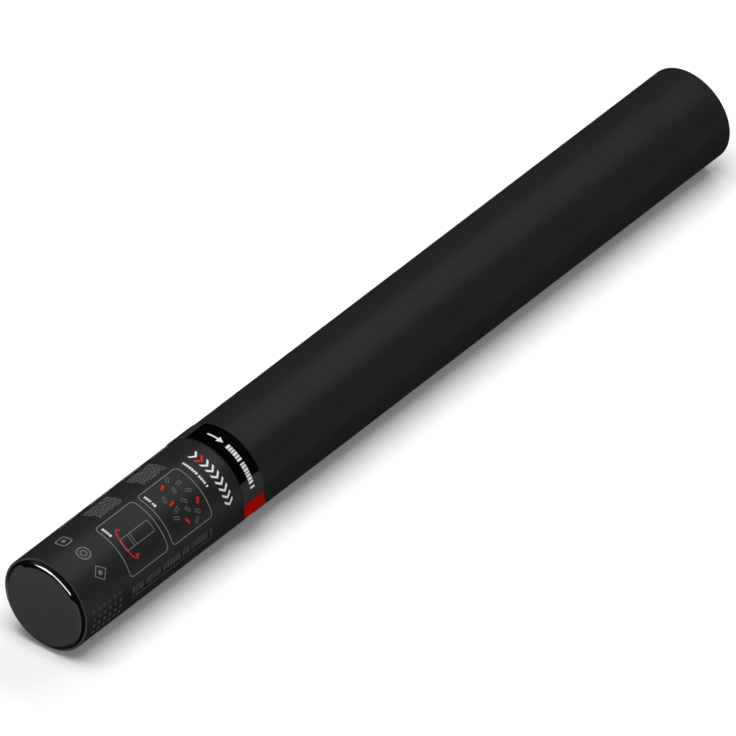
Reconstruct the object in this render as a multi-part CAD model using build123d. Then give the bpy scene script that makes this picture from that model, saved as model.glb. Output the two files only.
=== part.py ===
from build123d import *
import os
from math import sqrt

# Hand-held confetti popper, fired by a twist of its grip.
# Each piece is built about an upright axis and placed by stations: heights above the base face.
# All pieces are then laid along +X, with the base at -X and the muzzle at +X, on z = 0.
# Lengths are millimetres. Angles about the tube are degrees from its top, towards -Y.

# Tubes and label
overall_length = 500.0
outer_diameter = 51.0
grip_length = 128.8
twist_gap = 0.3
tube_wall = 2.0
muzzle_edge_radius = 0.8
label_thickness = 0.3
label_glue_line = 0.02
label_end_margin = 0.8

# Fits
fixed_fit = 0.05
running_fit = 0.1
end_gap = 0.3
cut_overrun = 1.0

# Base cap
cap_flange_thickness = 2.6
cap_bevel_width = 1.8
cap_bevel_height = 1.2
cap_skirt_width = 1.5
cap_land_height = 0.2
cap_rim_step = 1.3
cap_floor_thickness = 3.2
cap_spigot_length = 14.0
cap_wall = 2.0
label_cap_gap = 0.2

# Seal over the twist joint
seal_width = 15.5
seal_thickness = 0.25
seal_seat_margin = 0.3
seal_opening_angle = 24.0
seal_split_angle = 0.4
tab_start_angle = 90.0
tab_length = 7.0
tab_lean_angle = 8.5

# Firing housing, fixed in the base end of the barrel
bulkhead_inset = 3.0
bulkhead_thickness = 5.0
plug_depth = 14.0
plug_wall = 2.4
guide_wall = 1.9
guide_foot_gap = 3.6
o_ring_section = 2.0

# Needle and what clamps it in the bulkhead
needle_shank_radius = 2.5
needle_spike_radius = 2.0
needle_bore_radius = 0.9
needle_collar_radius = 5.0
needle_collar_height = 2.5
needle_spike_length = 10.0
needle_tip_length = 3.0
needle_tail_length = 1.0
needle_washer_radius = 5.0
needle_washer_thickness = 1.0
nut_across_flats = 8.0
nut_height = 4.0
neck_seal_wall = 3.7

# Retaining ring and thrust washer that keep the grip on the guide tube
ring_inset = 2.0
ring_thickness = 1.2
ring_width = 2.0
ring_groove_depth = 0.8
ring_opening_width = 9.0
thrust_washer_thickness = 1.2
thrust_washer_clearance = 0.3

# Cam sleeve in the grip, and the carriage that it drives
twist_angle = 90.0
cylinder_travel = 8.0
cam_wall = 2.0
cam_end_margin = 6.0
pin_count = 2
pin_diameter = 4.0
pin_height = 20.0
carrier_wall = 1.8
carrier_floor_thickness = 3.0
carrier_length = 40.0
carrier_inset = 8.0
pad_thickness = 2.0

# Gas cylinder
cylinder_wall = 1.5
cylinder_foot_radius = 3.0
neck_radius = 6.0
neck_bore_radius = 3.0
neck_length = 7.0
shoulder_height = 9.0
shoulder_radius = 4.0
burst_disc_thickness = 0.3
crimp_wall = 1.2
crimp_top_thickness = 0.8
crimp_depth = 4.0
strike_gap = 3.5

# Guard spring round the cylinder
spring_wire_diameter = 1.2
spring_turns = 8

# Charge of paper slips, with the wad and the cards
wad_height = 14.0
wad_face_thickness = 6.0
wad_skirt_wall = 1.6
wad_edge_radius = 0.8
card_thickness = 1.5
charge_clearance = 0.3
layer_count = 6
layer_gap = 0.4
stack_gap = 0.3
side_stack_thickness = 8.6
middle_stack_count = 4

# Muzzle lid
lid_recess = 1.0
lid_height = 9.0
lid_face_thickness = 1.4
lid_skirt_wall = 1.2
lid_edge_radius = 0.5

# Radii, from the outside inwards
outer_radius = outer_diameter / 2
board_radius = outer_radius - label_thickness
bore_radius = outer_radius - tube_wall
insert_radius = bore_radius - fixed_fit
cam_bore_radius = insert_radius - cam_wall
guide_radius = cam_bore_radius - running_fit
guide_bore_radius = guide_radius - guide_wall
carrier_radius = guide_bore_radius - running_fit
carrier_bore_radius = carrier_radius - carrier_wall
cylinder_radius = carrier_bore_radius - fixed_fit
pin_radius = pin_diameter / 2
wire_radius = spring_wire_diameter / 2
seal_inner_radius = outer_radius + running_fit
seal_outer_radius = seal_inner_radius + seal_thickness
wad_radius = bore_radius - running_fit
charge_radius = bore_radius - charge_clearance

# Stations of the tubes, the cap and the housing
grip_end = grip_length - twist_gap / 2
barrel_start = grip_length + twist_gap / 2
seal_start = grip_length - seal_width / 2
seal_end = seal_start + seal_width
bulkhead_base = barrel_start + bulkhead_inset
bulkhead_top = bulkhead_base + bulkhead_thickness
plug_top = bulkhead_top + plug_depth
cap_spigot_top = cap_flange_thickness + cap_spigot_length
guide_foot = cap_spigot_top + guide_foot_gap
ring_base = guide_foot + ring_inset
ring_top = ring_base + ring_thickness
thrust_base = ring_top + fixed_fit
thrust_top = thrust_base + thrust_washer_thickness
cam_base = thrust_top + running_fit
cam_top = grip_end - cam_end_margin

# Stations of the carriage and of what it meets
carrier_base = guide_foot + carrier_inset
carrier_top = carrier_base + carrier_length
pin_station = carrier_base + pin_height
pad_base = carrier_base + carrier_floor_thickness
cylinder_base = pad_base + pad_thickness
collar_base = bulkhead_base - needle_collar_height
needle_tip = collar_base - needle_spike_length
disc_top = needle_tip - strike_gap
neck_top = disc_top - burst_disc_thickness
shoulder_top = neck_top - neck_length
shoulder_base = shoulder_top - shoulder_height
crimp_top = disc_top + crimp_top_thickness
crimp_base = neck_top - crimp_depth
neck_seal_base = crimp_top + cylinder_travel + end_gap

# Stations of the charge and the lid
wad_base = plug_top + end_gap
wad_top = wad_base + wad_height
wad_card_top = wad_top + card_thickness
lid_top = overall_length - lid_recess
lid_base = lid_top - lid_height
top_card_top = lid_base - end_gap
top_card_base = top_card_top - card_thickness
layer_pitch = (top_card_base - wad_card_top - layer_gap) / layer_count
slip_length = layer_pitch - layer_gap

# Slips are cut so that three columns of them, side by side, span the bore
charge_edge = sqrt(charge_radius**2 - (side_stack_thickness / 2) ** 2)
slip_width = (2 * charge_edge - 2 * stack_gap) / 3
middle_column_height = 2 * sqrt(charge_radius**2 - (slip_width / 2) ** 2)
middle_stack_pitch = (middle_column_height + stack_gap) / middle_stack_count
middle_stack_thickness = middle_stack_pitch - stack_gap

# Lays the upright model along +X on the ground, which brings its local -X side to the top
laid_down = Location((-overall_length / 2, 0, outer_radius), (0, 90, 0))
top_angle = 180.0


def rod(radius, start, end):
    """Solid round bar on the axis between two stations."""
    height = end - start
    return Pos(0, 0, start) * Cylinder(radius, height, align=(Align.CENTER, Align.CENTER, Align.MIN))


def ring(inner_radius, outer_radius, start, end):
    """Round tube on the axis between two stations."""
    return rod(outer_radius, start, end) - rod(inner_radius, start - cut_overrun, end + cut_overrun)


def turned(*outline):
    """Solid turned about the axis from a closed outline of (radius, station) points."""
    points = [(radius, 0, station) for radius, station in outline]
    return revolve(make_face(Polyline(*points, close=True)), Axis.Z)


def arc_band(inner_radius, outer_radius, start, end, first_angle, last_angle):
    """Part of a thin tube between two stations and two angles about the tube."""
    sweep_angle = last_angle - first_angle
    outer = CenterArc((0, 0), outer_radius, first_angle + top_angle, sweep_angle)
    inner = CenterArc((0, 0), inner_radius, first_angle + top_angle, sweep_angle)
    sides = Line(outer @ 0, inner @ 0) + Line(outer @ 1, inner @ 1)
    section = make_face(outer + inner + sides)
    return Pos(0, 0, start) * extrude(section, end - start)


def cross_rod(radius, inner_end, outer_end, station):
    """Round bar that points outwards along the local X axis at a station."""
    length = outer_end - inner_end
    bar = Cylinder(radius, length, align=(Align.CENTER, Align.CENTER, Align.MIN))
    return Pos(inner_end, 0, station) * Rot(0, 90, 0) * bar


def around(shape, count):
    """Copies of a shape, evenly spaced about the axis, the first and last across the tube."""
    return [Rot(0, 0, 90 + index * 360 / count) * shape for index in range(count)]


def block(width, thickness, start, end, across, along):
    """Rectangular block between two stations, centred at a place in the tube's section."""
    size = (thickness, width, end - start)
    return Pos(along, across, start) * Box(*size, align=(Align.CENTER, Align.CENTER, Align.MIN))


def circles_at(shape, station):
    """Round edges of a turned shape that lie at a station."""
    circles = shape.edges().filter_by(GeomType.CIRCLE)
    return [edge for edge in circles if abs(edge.center().Z - station) < fixed_fit]


def outermost(edges):
    """The widest of several round edges."""
    return max(edges, key=lambda edge: edge.radius)


# Tubes and label


def make_barrel_tube():
    seat_end = seal_end + seal_seat_margin
    tube = ring(bore_radius, outer_radius, barrel_start, overall_length)
    tube = fillet(outermost(circles_at(tube, overall_length)), muzzle_edge_radius)
    seat = ring(board_radius, outer_radius + cut_overrun, barrel_start - cut_overrun, seat_end)
    return tube - seat


def make_grip_tube():
    return ring(bore_radius, board_radius, cap_flange_thickness, grip_end)


def make_grip_label():
    start = cap_flange_thickness + label_cap_gap
    return ring(board_radius + label_glue_line, outer_radius, start, grip_end - label_end_margin)


def make_base_cap():
    rim_radius = outer_radius - cap_rim_step
    bevel_radius = rim_radius - cap_skirt_width
    flange = turned(
        (0, 0),
        (bevel_radius - cap_bevel_width, 0),
        (bevel_radius, cap_bevel_height),
        (rim_radius, cap_flange_thickness - cap_land_height),
        (rim_radius, cap_flange_thickness),
        (0, cap_flange_thickness),
    )
    spigot = rod(insert_radius, cap_flange_thickness, cap_spigot_top)
    hollow = rod(insert_radius - cap_wall, cap_floor_thickness, cap_spigot_top + cut_overrun)
    return flange + spigot - hollow


# Seal over the joint


def make_seal_strip():
    first = -top_angle + seal_opening_angle / 2
    return arc_band(seal_inner_radius, seal_outer_radius, seal_start, seal_end, first, tab_start_angle)


def make_seal_pull_tab():
    """Flat free end of the strip, which leans a little away from the tube."""
    root_angle = top_angle + tab_start_angle + seal_split_angle
    plate = Box(seal_thickness, tab_length, seal_width, align=(Align.MAX, Align.MIN, Align.MIN))
    leaning = Pos(seal_outer_radius, 0, seal_start) * Rot(0, 0, -tab_lean_angle) * plate
    return Rot(0, 0, root_angle) * leaning


# Firing housing and what is fixed to it


def make_guide_slot():
    """Axial slot for one follower pin, through the wall of the guide tube."""
    slot_radius = pin_radius + running_fit
    reach = guide_radius + cut_overrun
    low_end = cross_rod(slot_radius, 0, reach, pin_station)
    high_end = cross_rod(slot_radius, 0, reach, pin_station + cylinder_travel)
    middle = block(2 * slot_radius, reach, pin_station, pin_station + cylinder_travel, 0, reach / 2)
    return low_end + high_end + middle


def make_firing_housing():
    bulkhead = rod(insert_radius, bulkhead_base, bulkhead_top)
    plug = ring(insert_radius - plug_wall, insert_radius, bulkhead_top, plug_top)
    guide = ring(guide_bore_radius, guide_radius, guide_foot, bulkhead_base)
    hole_radius = needle_shank_radius + fixed_fit
    needle_hole = rod(hole_radius, bulkhead_base - cut_overrun, bulkhead_top + cut_overrun)
    groove_half_width = o_ring_section / 2 + fixed_fit
    groove_middle = (bulkhead_base + bulkhead_top) / 2
    groove_bottom = insert_radius - o_ring_section - fixed_fit
    groove = ring(
        groove_bottom,
        insert_radius + cut_overrun,
        groove_middle - groove_half_width,
        groove_middle + groove_half_width,
    )
    clip_groove = ring(
        guide_radius - ring_groove_depth,
        guide_radius + cut_overrun,
        ring_base - fixed_fit,
        ring_top + fixed_fit,
    )
    housing = bulkhead + plug + guide - needle_hole - groove - clip_groove
    return housing - around(make_guide_slot(), pin_count)


def make_housing_o_ring():
    section_radius = o_ring_section / 2
    middle = (bulkhead_base + bulkhead_top) / 2
    return Pos(0, 0, middle) * Torus(insert_radius - section_radius, section_radius)


def make_piercing_needle():
    shank_top = bulkhead_top + needle_washer_thickness + nut_height + needle_tail_length
    outline = [
        (needle_bore_radius, needle_tip),
        (needle_spike_radius, needle_tip + needle_tip_length),
        (needle_spike_radius, collar_base),
        (needle_collar_radius, collar_base),
        (needle_collar_radius, bulkhead_base),
        (needle_shank_radius, bulkhead_base),
        (needle_shank_radius, shank_top),
        (needle_bore_radius, shank_top),
    ]
    return turned(*outline)


def make_needle_washer():
    top = bulkhead_top + needle_washer_thickness
    return ring(needle_shank_radius + fixed_fit, needle_washer_radius, bulkhead_top, top)


def make_needle_nut():
    base = bulkhead_top + needle_washer_thickness
    hexagon = RegularPolygon(nut_across_flats / 2, 6, major_radius=False)
    body = Pos(0, 0, base) * extrude(hexagon, nut_height)
    return body - rod(needle_shank_radius + fixed_fit, base - cut_overrun, base + nut_height + cut_overrun)


def make_neck_seal():
    inner_radius = needle_collar_radius + fixed_fit
    return ring(inner_radius, inner_radius + neck_seal_wall, neck_seal_base, bulkhead_base)


def make_retaining_ring():
    inner_radius = guide_radius - ring_groove_depth + fixed_fit
    outer = inner_radius + ring_width
    opening = block(
        ring_opening_width,
        2 * outer,
        ring_base - cut_overrun,
        ring_top + cut_overrun,
        0,
        outer,
    )
    return ring(inner_radius, outer, ring_base, ring_top) - opening


def make_thrust_washer():
    outer = bore_radius - thrust_washer_clearance
    return ring(guide_radius + fixed_fit, outer, thrust_base, thrust_top)


def make_guard_spring():
    coil_radius = (cylinder_radius + guide_bore_radius) / 2
    start = carrier_top + running_fit + wire_radius
    height = bulkhead_base - running_fit - wire_radius - start
    path = Helix(pitch=height / spring_turns, height=height, radius=coil_radius)
    section = Plane(origin=path @ 0, z_dir=path % 0) * Circle(wire_radius)
    return Pos(0, 0, start) * sweep(section, path=path, is_frenet=True)


# Cam sleeve in the grip


def make_cam_slot():
    """Helical slot for one follower pin: the pin climbs it as the sleeve turns."""
    slot_radius = pin_radius + running_fit
    middle_radius = cam_bore_radius + cam_wall / 2
    inner_end = cam_bore_radius - cut_overrun
    outer_end = insert_radius + cut_overrun
    path = Helix(
        pitch=cylinder_travel * 360 / twist_angle,
        height=cylinder_travel,
        radius=middle_radius,
        lefthand=True,
    )
    section_plane = Plane(origin=path @ 0, x_dir=(1, 0, 0), z_dir=path % 0)
    section = section_plane * Rectangle(outer_end - inner_end, 2 * slot_radius)
    run = Pos(0, 0, pin_station) * sweep(section, path=path, is_frenet=True)
    low_end = cross_rod(slot_radius, inner_end, outer_end, pin_station)
    high_end = Rot(0, 0, -twist_angle) * Pos(0, 0, cylinder_travel) * low_end
    return low_end + high_end + run


def make_cam_sleeve():
    sleeve = ring(cam_bore_radius, insert_radius, cam_base, cam_top)
    return sleeve - around(make_cam_slot(), pin_count)


# Carriage with the gas cylinder


def make_cylinder_carrier():
    cup = rod(carrier_radius, carrier_base, carrier_top)
    hollow = rod(carrier_bore_radius, pad_base, carrier_top + cut_overrun)
    hole_start = carrier_bore_radius - cut_overrun
    pin_hole = cross_rod(pin_radius + fixed_fit, hole_start, guide_radius, pin_station)
    return cup - hollow - around(pin_hole, pin_count)


def make_follower_pins():
    inner_end = carrier_bore_radius + fixed_fit
    outer_end = insert_radius - end_gap
    return Compound(around(cross_rod(pin_radius, inner_end, outer_end, pin_station), pin_count))


def make_carrier_pad():
    return rod(cylinder_radius, pad_base, cylinder_base)


def make_gas_cylinder():
    body = turned(
        (0, cylinder_base),
        (cylinder_radius, cylinder_base),
        (cylinder_radius, shoulder_base),
        (neck_radius, shoulder_top),
        (neck_radius, neck_top),
        (0, neck_top),
    )
    body = fillet(outermost(circles_at(body, cylinder_base)), cylinder_foot_radius)
    body = fillet(outermost(circles_at(body, shoulder_base)), shoulder_radius)
    inner_radius = cylinder_radius - cylinder_wall
    hollow = turned(
        (0, cylinder_base + cylinder_wall),
        (inner_radius - cylinder_foot_radius, cylinder_base + cylinder_wall),
        (inner_radius, cylinder_base + cylinder_wall + cylinder_foot_radius),
        (inner_radius, shoulder_base - cylinder_wall),
        (neck_bore_radius, shoulder_top - cylinder_wall),
        (neck_bore_radius, neck_top + cut_overrun),
        (0, neck_top + cut_overrun),
    )
    return body - hollow


def make_burst_disc():
    return rod(neck_radius, neck_top, disc_top)


def make_crimp_ring():
    wall_radius = neck_radius + fixed_fit
    hole_radius = neck_bore_radius + fixed_fit
    cap = rod(wall_radius + crimp_wall, crimp_base, crimp_top)
    neck_room = rod(wall_radius, crimp_base - cut_overrun, disc_top)
    return cap - neck_room - rod(hole_radius, disc_top - cut_overrun, crimp_top + cut_overrun)


# Charge and lid


def make_pusher_wad():
    body = rod(wad_radius, wad_base, wad_top)
    body = fillet(outermost(circles_at(body, wad_base)), wad_edge_radius)
    return body - rod(wad_radius - wad_skirt_wall, wad_base - cut_overrun, wad_top - wad_face_thickness)


def make_wad_card():
    return rod(charge_radius, wad_top, wad_card_top)


def make_top_card():
    return rod(charge_radius, top_card_base, top_card_top)


def make_confetti_layer(index):
    """One layer of stacked slips: a middle column of stacks and one stack on each side of it."""
    start = wad_card_top + layer_gap + index * layer_pitch
    end = start + slip_length
    side_offset = slip_width + stack_gap
    stacks = []
    for side in (-1, 1):
        stacks.append(block(slip_width, side_stack_thickness, start, end, side * side_offset, 0))
    for level in range(middle_stack_count):
        height = (level - (middle_stack_count - 1) / 2) * middle_stack_pitch
        stacks.append(block(slip_width, middle_stack_thickness, start, end, 0, height))
    return Compound(stacks)


def make_muzzle_lid():
    body = rod(wad_radius, lid_base, lid_top)
    body = fillet(outermost(circles_at(body, lid_top)), lid_edge_radius)
    return body - rod(wad_radius - lid_skirt_wall, lid_base - cut_overrun, lid_top - lid_face_thickness)


pieces = {
    "barrel_tube": make_barrel_tube(),
    "firing_housing": make_firing_housing(),
    "housing_o_ring": make_housing_o_ring(),
    "piercing_needle": make_piercing_needle(),
    "needle_washer": make_needle_washer(),
    "needle_nut": make_needle_nut(),
    "neck_seal": make_neck_seal(),
    "retaining_ring": make_retaining_ring(),
    "thrust_washer": make_thrust_washer(),
    "guard_spring": make_guard_spring(),
    "grip_tube": make_grip_tube(),
    "grip_label": make_grip_label(),
    "base_cap": make_base_cap(),
    "cam_sleeve": make_cam_sleeve(),
    "cylinder_carrier": make_cylinder_carrier(),
    "follower_pins": make_follower_pins(),
    "carrier_pad": make_carrier_pad(),
    "gas_cylinder": make_gas_cylinder(),
    "burst_disc": make_burst_disc(),
    "crimp_ring": make_crimp_ring(),
    "pusher_wad": make_pusher_wad(),
    "wad_card": make_wad_card(),
    "top_card": make_top_card(),
    "muzzle_lid": make_muzzle_lid(),
    "seal_strip": make_seal_strip(),
    "seal_pull_tab": make_seal_pull_tab(),
}
for layer in range(layer_count):
    pieces[f"confetti_layer_{layer + 1}"] = make_confetti_layer(layer)

os.makedirs("parts", exist_ok=True)
for name, shape in pieces.items():
    export_step(laid_down * shape, f"parts/{name}.step")
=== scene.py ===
"""Looks of a hand-held confetti popper: board barrel, printed twist grip, seal strip, firing parts
and the charge inside."""

import math
import random

import bmesh
import bpy
from mathutils import Matrix, Vector


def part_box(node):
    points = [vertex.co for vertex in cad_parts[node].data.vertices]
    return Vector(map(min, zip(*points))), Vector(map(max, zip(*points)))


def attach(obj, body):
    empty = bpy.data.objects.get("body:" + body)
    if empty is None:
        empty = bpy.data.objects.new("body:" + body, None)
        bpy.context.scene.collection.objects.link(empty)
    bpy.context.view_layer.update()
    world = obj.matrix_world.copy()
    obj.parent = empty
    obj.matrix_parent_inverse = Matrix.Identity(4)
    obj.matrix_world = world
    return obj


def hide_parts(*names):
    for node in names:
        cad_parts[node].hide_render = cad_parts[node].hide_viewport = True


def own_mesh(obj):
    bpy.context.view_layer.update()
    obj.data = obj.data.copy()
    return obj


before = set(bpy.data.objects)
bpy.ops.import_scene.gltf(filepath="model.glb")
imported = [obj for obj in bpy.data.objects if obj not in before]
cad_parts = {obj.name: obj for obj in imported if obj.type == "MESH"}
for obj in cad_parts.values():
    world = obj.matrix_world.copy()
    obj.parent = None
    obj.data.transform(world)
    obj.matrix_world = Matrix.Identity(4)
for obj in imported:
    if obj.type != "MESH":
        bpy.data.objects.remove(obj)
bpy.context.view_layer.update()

MM = 0.001


def radius_of(node):
    """Half of the node's width across the tube."""
    low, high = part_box(node)
    return (high.y - low.y) / 2


def span_of(node):
    """The node's lowest and highest X."""
    low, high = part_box(node)
    return low.x, high.x


# The frame's main places: the tube lies along X, its base end at the lowest X.
AXIS_Z = (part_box("barrel_tube")[0].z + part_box("barrel_tube")[1].z) / 2
TUBE_RADIUS = radius_of("barrel_tube")
BOARD_RADIUS = radius_of("grip_tube")
BORE_FIT = 0.05 * MM
BORE_RADIUS = radius_of("firing_housing") + BORE_FIT
BASE_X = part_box("base_cap")[0].x


def station(s):
    """X of a place s mm from the base face."""
    return BASE_X + s * MM


def tube_point(x, radius, degrees):
    """Degrees count from the top line towards -Y."""
    angle = math.radians(degrees)
    return Vector((x, -radius * math.sin(angle), AXIS_Z + radius * math.cos(angle)))


# Mesh helpers.

ROUND_STEPS = 240
QUARTER_STEPS = 8
BEND_STEPS = 6
WRAP_STEP = 1.5
AXIS_TOUCH = 1e-7
SHARP_DEGREES = 32.0
SOFT_DEGREES = 40.0
SOFT_SEGMENTS = 2
SQUARE = ((-0.5, -0.5), (0.5, -0.5), (0.5, 0.5), (-0.5, 0.5))


def mesh_object(name, bm):
    bmesh.ops.recalc_face_normals(bm, faces=bm.faces)
    mesh = bpy.data.meshes.new(name)
    bm.to_mesh(mesh)
    bm.free()
    mesh.shade_smooth()
    mesh.set_sharp_from_angle(angle=math.radians(SHARP_DEGREES))
    made = bpy.data.objects.new(name, mesh)
    bpy.context.scene.collection.objects.link(made)
    return made


def join_rows(bm, low, high, finish=0):
    """Faces between two rings of vertices; a ring of one vertex is a point on the axis."""
    count = max(len(low), len(high))
    for k in range(count):
        after = (k + 1) % count
        if len(low) == 1:
            corners = (low[0], high[after], high[k])
        elif len(high) == 1:
            corners = (low[k], low[after], high[0])
        else:
            corners = (low[k], low[after], high[after], high[k])
        bm.faces.new(corners).material_index = finish


def close_ends(bm, rows):
    bm.faces.new(rows[0])
    bm.faces.new(rows[-1])


def lathe(name, profile, finishes=None, closed=True):
    """Turns (x, radius) points about the tube's axis. finishes gives each stretch's material index."""
    bm = bmesh.new()
    rows = []
    for x, radius in profile:
        count = 1 if radius < AXIS_TOUCH else ROUND_STEPS
        points = [tube_point(x, radius, 360.0 * k / count) for k in range(count)]
        rows.append([bm.verts.new(point) for point in points])
    pairs = list(zip(rows, rows[1:]))
    if closed:
        pairs.append((rows[-1], rows[0]))
    for k, (low, high) in enumerate(pairs):
        join_rows(bm, low, high, finishes[k] if finishes else 0)
    return mesh_object(name, bm)


def quarter(x, radius, size, start, end, steps=QUARTER_STEPS):
    """Points of an arc in the turning profile; 0 degrees points along +X and 90 away from the axis."""
    points = []
    for k in range(steps + 1):
        angle = math.radians(start + (end - start) * k / steps)
        points.append((x + size * math.cos(angle), radius + size * math.sin(angle)))
    return points


def bend(profile, size, start, end):
    """Goes on from the profile's last point along an arc of that size; angles as in quarter."""
    x, radius = profile[-1]
    angle = math.radians(start)
    centre = (x - size * math.cos(angle), radius - size * math.sin(angle))
    profile += quarter(*centre, size, start, end, BEND_STEPS)[1:]


def wrapped(name, span, radii, angles):
    """A plate curved round the tube between two angles, closed on all sides."""
    bm = bmesh.new()
    count = max(2, round(abs(angles[1] - angles[0]) / WRAP_STEP))
    corners = ((span[0], radii[0]), (span[1], radii[0]), (span[1], radii[1]), (span[0], radii[1]))
    rows = []
    for k in range(count + 1):
        angle = angles[0] + (angles[1] - angles[0]) * k / count
        rows.append([bm.verts.new(tube_point(x, radius, angle)) for x, radius in corners])
    for low, high in zip(rows, rows[1:]):
        join_rows(bm, low, high)
    close_ends(bm, rows)
    return mesh_object(name, bm)


def soften(made, width):
    bevel = made.modifiers.new("soft_edges", "BEVEL")
    bevel.width = width
    bevel.segments = SOFT_SEGMENTS
    bevel.limit_method = "ANGLE"
    bevel.angle_limit = math.radians(SOFT_DEGREES)
    return made


def piece(made, body, slot, materials, *nodes):
    """Gives a piece its finish and body, and hides the nodes that it stands for; slot is not used."""
    for material in materials:
        made.data.materials.append(material)
    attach(made, body)
    if nodes:
        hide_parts(*nodes)
    return made


# Material helpers.

EVEN = (1.0, 1.0, 1.0)
NOISE_MIDDLE = (0.3, 0.7)
PATCH_DETAIL = 4.0
GRAIN_DETAIL = 2.0
# The Mix node's first and second input and its result, for colours and for numbers.
COLOUR_SOCKETS = (6, 7, 2)
NUMBER_SOCKETS = (2, 3, 0)


def add_node(tree, kind, **settings):
    node = tree.nodes.new(kind)
    for name, value in settings.items():
        setattr(node, name, value)
    return node


def feed(tree, sockets, values):
    """Links each output among the values to its socket, and sets the plain values there."""
    for socket, value in zip(sockets, values):
        if isinstance(value, bpy.types.NodeSocket):
            tree.links.new(value, socket)
        else:
            socket.default_value = value


def math_node(tree, operation, *values):
    node = add_node(tree, "ShaderNodeMath", operation=operation)
    feed(tree, node.inputs, values)
    return node.outputs[0]


def vector_node(tree, operation, *values):
    node = add_node(tree, "ShaderNodeVectorMath", operation=operation)
    feed(tree, node.inputs, values)
    return node.outputs["Value" if operation == "LENGTH" else "Vector"]


def object_place(tree):
    return add_node(tree, "ShaderNodeTexCoord").outputs["Object"]


def noise(tree, per_metre, detail, stretch=EVEN):
    mapping = add_node(tree, "ShaderNodeMapping")
    mapping.inputs["Scale"].default_value = stretch
    texture = add_node(tree, "ShaderNodeTexNoise")
    texture.inputs["Scale"].default_value = per_metre
    texture.inputs["Detail"].default_value = detail
    tree.links.new(object_place(tree), mapping.inputs["Vector"])
    tree.links.new(mapping.outputs["Vector"], texture.inputs["Vector"])
    return texture.outputs["Fac"]


def rings(tree, pitch):
    """A wave in the distance from the tube's axis, for the plies of a cut board."""
    centred = vector_node(tree, "SUBTRACT", object_place(tree), (0.0, 0.0, AXIS_Z))
    flat = vector_node(tree, "MULTIPLY", centred, (0.0, 1.0, 1.0))
    wave = math_node(tree, "PINGPONG", vector_node(tree, "LENGTH", flat), pitch)
    return math_node(tree, "DIVIDE", wave, pitch)


def spiral(tree, pitch, width):
    """1 along a helical seam round the tube and 0 elsewhere."""
    parts = add_node(tree, "ShaderNodeSeparateXYZ")
    tree.links.new(object_place(tree), parts.inputs[0])
    height = math_node(tree, "SUBTRACT", parts.outputs["Z"], AXIS_Z)
    turn = math_node(tree, "ARCTAN2", parts.outputs["Y"], height)
    share = math_node(tree, "DIVIDE", turn, 2 * math.pi)
    along = math_node(tree, "DIVIDE", parts.outputs["X"], pitch)
    part = math_node(tree, "FRACT", math_node(tree, "ADD", share, along))
    return math_node(tree, "LESS_THAN", part, width / pitch)


def between(tree, factor, low, high):
    """A colour or a number that goes from low to high with factor."""
    colour = isinstance(low, tuple)
    mix = add_node(tree, "ShaderNodeMix", data_type="RGBA" if colour else "FLOAT")
    first, second, result = COLOUR_SOCKETS if colour else NUMBER_SOCKETS
    tree.links.new(factor, mix.inputs[0])
    mix.inputs[first].default_value = (*low, 1.0) if colour else low
    mix.inputs[second].default_value = (*high, 1.0) if colour else high
    return mix.outputs[result]


def spread(tree, value):
    """Stretches the middle of a noise to the whole range from 0 to 1."""
    ranged = add_node(tree, "ShaderNodeMapRange", clamp=True)
    feed(tree, (ranged.inputs["From Min"], ranged.inputs["From Max"]), NOISE_MIDDLE)
    tree.links.new(value, ranged.inputs["Value"])
    return ranged.outputs["Result"]


def raised(tree, shader, height, depth, before=None):
    bump = add_node(tree, "ShaderNodeBump")
    bump.inputs["Distance"].default_value = depth
    tree.links.new(height, bump.inputs["Height"])
    if before is not None:
        tree.links.new(before, bump.inputs["Normal"])
    tree.links.new(bump.outputs["Normal"], shader.inputs["Normal"])
    return bump.outputs["Normal"]


def start_material(name, specular, metallic=0.0, edge=1.0):
    """edge tints the gloss towards the silhouettes; at 0 a satin surface keeps dark edges."""
    material = bpy.data.materials.new(name)
    material.use_nodes = True
    tree = material.node_tree
    shader = tree.nodes["Principled BSDF"]
    shader.inputs["Metallic"].default_value = metallic
    shader.inputs["Specular IOR Level"].default_value = specular
    shader.inputs["Specular Tint"].default_value = (edge, edge, edge, 1.0)
    return material, tree, shader


def surface(name, colours, rough, patch, grain, bump, stretch=EVEN, detail=PATCH_DETAIL,
            specular=0.0, **gloss):
    """The colour wanders with a patchy noise; a finer grain gives the roughness and the bump.
    patch and grain are features per metre, bump is the grain's height in mm."""
    material, tree, shader = start_material(name, specular, **gloss)
    wander = spread(tree, noise(tree, patch, detail, stretch))
    fine = noise(tree, grain, GRAIN_DETAIL, stretch)
    tree.links.new(between(tree, wander, *colours), shader.inputs["Base Color"])
    tree.links.new(between(tree, fine, *rough), shader.inputs["Roughness"])
    raised(tree, shader, fine, bump * MM)
    return material


FIBRE_SPECULAR = 0.25
PLY_PITCH = 0.22 * MM
BOARD_FIBRES = {"per_metre": 2600.0, "detail": 3.0}
BOARD_ROUGH = (0.75, 0.95)
BOARD_BUMP = 0.05 * MM
LINER_FIBRES = {"per_metre": 900.0, "detail": 4.0, "stretch": (0.4, 1.0, 1.0)}
LINER_ROUGH = (0.7, 0.9)
LINER_BUMP = 0.04 * MM
SEAM_PITCH = 90.0 * MM
SEAM_WIDTH = 0.5 * MM
SEAM_DEPTH = 0.15 * MM


def board_material(name, dark, light):
    """Cut grey board: plies as rings, fibres as noise."""
    material, tree, shader = start_material(name, FIBRE_SPECULAR)
    fibres = noise(tree, **BOARD_FIBRES)
    shades = math_node(tree, "MULTIPLY", rings(tree, PLY_PITCH), fibres)
    tree.links.new(between(tree, shades, dark, light), shader.inputs["Base Color"])
    tree.links.new(between(tree, fibres, *BOARD_ROUGH), shader.inputs["Roughness"])
    raised(tree, shader, fibres, BOARD_BUMP)
    return material


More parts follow.
